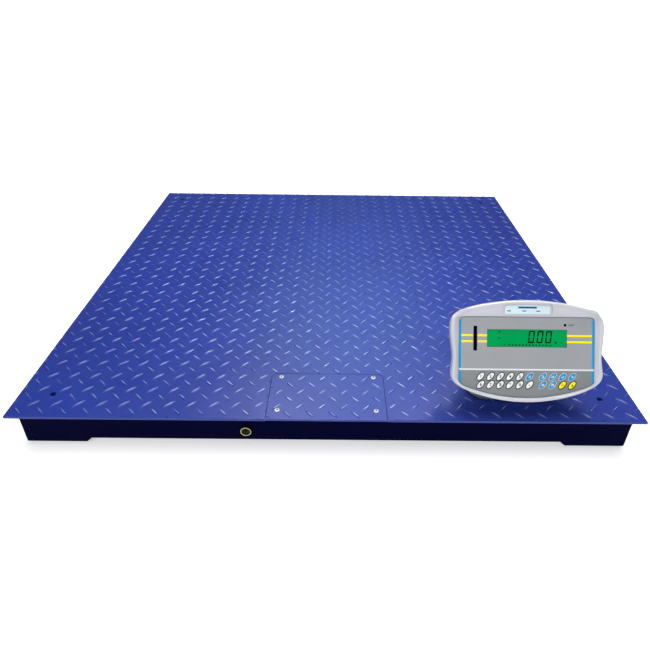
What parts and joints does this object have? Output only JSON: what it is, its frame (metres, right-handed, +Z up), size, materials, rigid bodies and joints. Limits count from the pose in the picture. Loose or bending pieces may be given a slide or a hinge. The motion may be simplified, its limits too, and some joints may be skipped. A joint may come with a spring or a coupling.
{
  "type": "pallet scale",
  "caption": "Low pallet scale: a blue tread-plate deck on load cells and levelling feet, with a keypad indicator on a tilting stand.",
  "frame": {"origin": "on the floor under the middle of the deck", "axes": "+Z up, -Y out of the front edge that has the access cover, +X to the right seen from the front"},
  "size_m": [1.2, 1.2, 0.2817],
  "materials": {
    "blue_paint": "semi-gloss blue paint",
    "zinc": "bright zinc plate",
    "steel": "nickel-plated alloy steel",
    "brass": "nickel-plated brass, dull",
    "rubber": "black rubber",
    "box_plastic": "grey moulded plastic",
    "cable": "black cable sheath",
    "case_plastic": "pale grey moulded plastic, satin",
    "overlay_film": "printed grey polyester film",
    "display_green": "green backlit liquid crystal window",
    "black_lens": "black lens",
    "board_green": "green circuit board",
    "battery_wrap": "blue shrink wrap",
    "stand_steel": "brushed sheet steel",
    "black_plastic": "black moulded plastic",
    "key_white": "white embossed key",
    "key_blue": "blue embossed key",
    "key_yellow": "yellow embossed key"
  },
  "bodies": {
    "platform": {"deck_plate": "blue_paint", "frame_front": "blue_paint", "frame_rear": "blue_paint", "frame_left": "blue_paint", "frame_right": "blue_paint", "rib_left": "blue_paint", "rib_right": "blue_paint", "load_cell_front_left": "steel", "load_cell_front_right": "steel", "load_cell_rear_left": "steel", "load_cell_rear_right": "steel", "cable_gland": "brass", "junction_box": "box_plastic", "junction_box_lid": "box_plastic", "cell_wiring": "cable"},
    "cover": {"access_cover": "blue_paint", "cover_screw_1": "zinc", "cover_screw_2": "zinc", "cover_screw_3": "zinc", "cover_screw_4": "zinc"},
    "stand": {"stand_bracket": "stand_steel"},
    "indicator": {"front_case": "case_plastic", "rear_case": "case_plastic", "keypad_overlay": "overlay_film", "display_module": "display_green", "light_bar": "black_lens", "main_board": "board_green", "battery": "battery_wrap", "load_cell_socket": "zinc"},
    "battery_door": {"battery_cover": "case_plastic"},
    "left_knob": {"knob_left": "black_plastic"},
    "right_knob": {"knob_right": "black_plastic"},
    "pad_front_left": {"foot_pad_front_left": "rubber"},
    "stem_front_left": {"foot_stem_front_left": "zinc"},
    "pad_front_right": {"foot_pad_front_right": "rubber"},
    "stem_front_right": {"foot_stem_front_right": "zinc"},
    "pad_rear_left": {"foot_pad_rear_left": "rubber"},
    "stem_rear_left": {"foot_stem_rear_left": "zinc"},
    "pad_rear_right": {"foot_pad_rear_right": "rubber"},
    "stem_rear_right": {"foot_stem_rear_right": "zinc"},
    "button_1": {"key_1": "key_white"},
    "button_2": {"key_2": "key_white"},
    "button_3": {"key_3": "key_white"},
    "button_4": {"key_4": "key_white"},
    "button_5": {"key_5": "key_white"},
    "button_clear": {"key_clear": "key_blue"},
    "button_6": {"key_6": "key_white"},
    "button_7": {"key_7": "key_white"},
    "button_8": {"key_8": "key_white"},
    "button_9": {"key_9": "key_white"},
    "button_0": {"key_0": "key_white"},
    "button_point": {"key_point": "key_white"},
    "button_limits": {"key_limits": "key_blue"},
    "button_units": {"key_units": "key_blue"},
    "button_check": {"key_check": "key_blue"},
    "button_total": {"key_total": "key_blue"},
    "button_setup": {"key_setup": "key_blue"},
    "button_print": {"key_print": "key_blue"},
    "button_zero": {"key_zero": "key_yellow"},
    "button_tare": {"key_tare": "key_yellow"}
  },
  "joints": [
    {"name": "cover_lift", "type": "slide", "parent": "platform", "child": "cover", "axis": [0, 0, 1], "range_m": [0, 0.1]},
    {"name": "foot_level_front_left", "type": "slide", "parent": "platform", "child": "pad_front_left", "axis": [0, 0, 1], "range_m": [-0.0052, 0.0052]},
    {"name": "foot_turn_front_left", "type": "hinge", "parent": "pad_front_left", "child": "stem_front_left", "pos_m": [-0.535, -0.535, 0.04], "axis": [0, 0, 1], "range_deg": [-1080, 1080]},
    {"name": "foot_level_front_right", "type": "slide", "parent": "platform", "child": "pad_front_right", "axis": [0, 0, 1], "range_m": [-0.0052, 0.0052]},
    {"name": "foot_turn_front_right", "type": "hinge", "parent": "pad_front_right", "child": "stem_front_right", "pos_m": [0.535, -0.535, 0.04], "axis": [0, 0, 1], "range_deg": [-1080, 1080]},
    {"name": "foot_level_rear_left", "type": "slide", "parent": "platform", "child": "pad_rear_left", "axis": [0, 0, 1], "range_m": [-0.0052, 0.0052]},
    {"name": "foot_turn_rear_left", "type": "hinge", "parent": "pad_rear_left", "child": "stem_rear_left", "pos_m": [-0.535, 0.535, 0.04], "axis": [0, 0, 1], "range_deg": [-1080, 1080]},
    {"name": "foot_level_rear_right", "type": "slide", "parent": "platform", "child": "pad_rear_right", "axis": [0, 0, 1], "range_m": [-0.0052, 0.0052]},
    {"name": "foot_turn_rear_right", "type": "hinge", "parent": "pad_rear_right", "child": "stem_rear_right", "pos_m": [0.535, 0.535, 0.04], "axis": [0, 0, 1], "range_deg": [-1080, 1080]},
    {"name": "stand_lift", "type": "slide", "parent": "platform", "child": "stand", "axis": [0, 0, 1], "range_m": [0, 0.15]},
    {"name": "indicator_tilt", "type": "hinge", "parent": "stand", "child": "indicator", "pos_m": [0.367, -0.49483, 0.16741], "axis": [1, 0, 0], "range_deg": [-30, 18]},
    {"name": "left_knob_turn", "type": "hinge", "parent": "stand", "child": "left_knob", "pos_m": [0.367, -0.49483, 0.16741], "axis": [-1, 0, 0], "range_deg": [0, 720]},
    {"name": "right_knob_turn", "type": "hinge", "parent": "stand", "child": "right_knob", "pos_m": [0.367, -0.49483, 0.16741], "axis": [1, 0, 0], "range_deg": [0, 720]},
    {"name": "battery_door_slide", "type": "slide", "parent": "indicator", "child": "battery_door", "axis": [0, 0.8372, -0.5468], "range_m": [0, 0.03]},
    {"name": "press_1", "type": "slide", "parent": "indicator", "child": "button_1", "axis": [0, 0.8372, -0.5468], "range_m": [0, 0.0005], "stiffness_N_per_m": 800, "springref_m": -0.001},
    {"name": "press_2", "type": "slide", "parent": "indicator", "child": "button_2", "axis": [0, 0.8372, -0.5468], "range_m": [0, 0.0005], "stiffness_N_per_m": 800, "springref_m": -0.001},
    {"name": "press_3", "type": "slide", "parent": "indicator", "child": "button_3", "axis": [0, 0.8372, -0.5468], "range_m": [0, 0.0005], "stiffness_N_per_m": 800, "springref_m": -0.001},
    {"name": "press_4", "type": "slide", "parent": "indicator", "child": "button_4", "axis": [0, 0.8372, -0.5468], "range_m": [0, 0.0005], "stiffness_N_per_m": 800, "springref_m": -0.001},
    {"name": "press_5", "type": "slide", "parent": "indicator", "child": "button_5", "axis": [0, 0.8372, -0.5468], "range_m": [0, 0.0005], "stiffness_N_per_m": 800, "springref_m": -0.001},
    {"name": "press_clear", "type": "slide", "parent": "indicator", "child": "button_clear", "axis": [0, 0.8372, -0.5468], "range_m": [0, 0.0005], "stiffness_N_per_m": 800, "springref_m": -0.001},
    {"name": "press_6", "type": "slide", "parent": "indicator", "child": "button_6", "axis": [0, 0.8372, -0.5468], "range_m": [0, 0.0005], "stiffness_N_per_m": 800, "springref_m": -0.001},
    {"name": "press_7", "type": "slide", "parent": "indicator", "child": "button_7", "axis": [0, 0.8372, -0.5468], "range_m": [0, 0.0005], "stiffness_N_per_m": 800, "springref_m": -0.001},
    {"name": "press_8", "type": "slide", "parent": "indicator", "child": "button_8", "axis": [0, 0.8372, -0.5468], "range_m": [0, 0.0005], "stiffness_N_per_m": 800, "springref_m": -0.001},
    {"name": "press_9", "type": "slide", "parent": "indicator", "child": "button_9", "axis": [0, 0.8372, -0.5468], "range_m": [0, 0.0005], "stiffness_N_per_m": 800, "springref_m": -0.001},
    {"name": "press_0", "type": "slide", "parent": "indicator", "child": "button_0", "axis": [0, 0.8372, -0.5468], "range_m": [0, 0.0005], "stiffness_N_per_m": 800, "springref_m": -0.001},
    {"name": "press_point", "type": "slide", "parent": "indicator", "child": "button_point", "axis": [0, 0.8372, -0.5468], "range_m": [0, 0.0005], "stiffness_N_per_m": 800, "springref_m": -0.001},
    {"name": "press_limits", "type": "slide", "parent": "indicator", "child": "button_limits", "axis": [0, 0.8372, -0.5468], "range_m": [0, 0.0005], "stiffness_N_per_m": 800, "springref_m": -0.001},
    {"name": "press_units", "type": "slide", "parent": "indicator", "child": "button_units", "axis": [0, 0.8372, -0.5468], "range_m": [0, 0.0005], "stiffness_N_per_m": 800, "springref_m": -0.001},
    {"name": "press_check", "type": "slide", "parent": "indicator", "child": "button_check", "axis": [0, 0.8372, -0.5468], "range_m": [0, 0.0005], "stiffness_N_per_m": 800, "springref_m": -0.001},
    {"name": "press_total", "type": "slide", "parent": "indicator", "child": "button_total", "axis": [0, 0.8372, -0.5468], "range_m": [0, 0.0005], "stiffness_N_per_m": 800, "springref_m": -0.001},
    {"name": "press_setup", "type": "slide", "parent": "indicator", "child": "button_setup", "axis": [0, 0.8372, -0.5468], "range_m": [0, 0.0005], "stiffness_N_per_m": 800, "springref_m": -0.001},
    {"name": "press_print", "type": "slide", "parent": "indicator", "child": "button_print", "axis": [0, 0.8372, -0.5468], "range_m": [0, 0.0005], "stiffness_N_per_m": 800, "springref_m": -0.001},
    {"name": "press_zero", "type": "slide", "parent": "indicator", "child": "button_zero", "axis": [0, 0.8372, -0.5468], "range_m": [0, 0.0005], "stiffness_N_per_m": 800, "springref_m": -0.001},
    {"name": "press_tare", "type": "slide", "parent": "indicator", "child": "button_tare", "axis": [0, 0.8372, -0.5468], "range_m": [0, 0.0005], "stiffness_N_per_m": 800, "springref_m": -0.001}
  ],
  "couplings": [
    {"joint": "foot_turn_front_left", "follows": "foot_level_front_left", "rad_per_m": 3590.4},
    {"joint": "foot_turn_front_right", "follows": "foot_level_front_right", "rad_per_m": 3590.4},
    {"joint": "foot_turn_rear_left", "follows": "foot_level_rear_left", "rad_per_m": 3590.4},
    {"joint": "foot_turn_rear_right", "follows": "foot_level_rear_right", "rad_per_m": 3590.4}
  ]
}
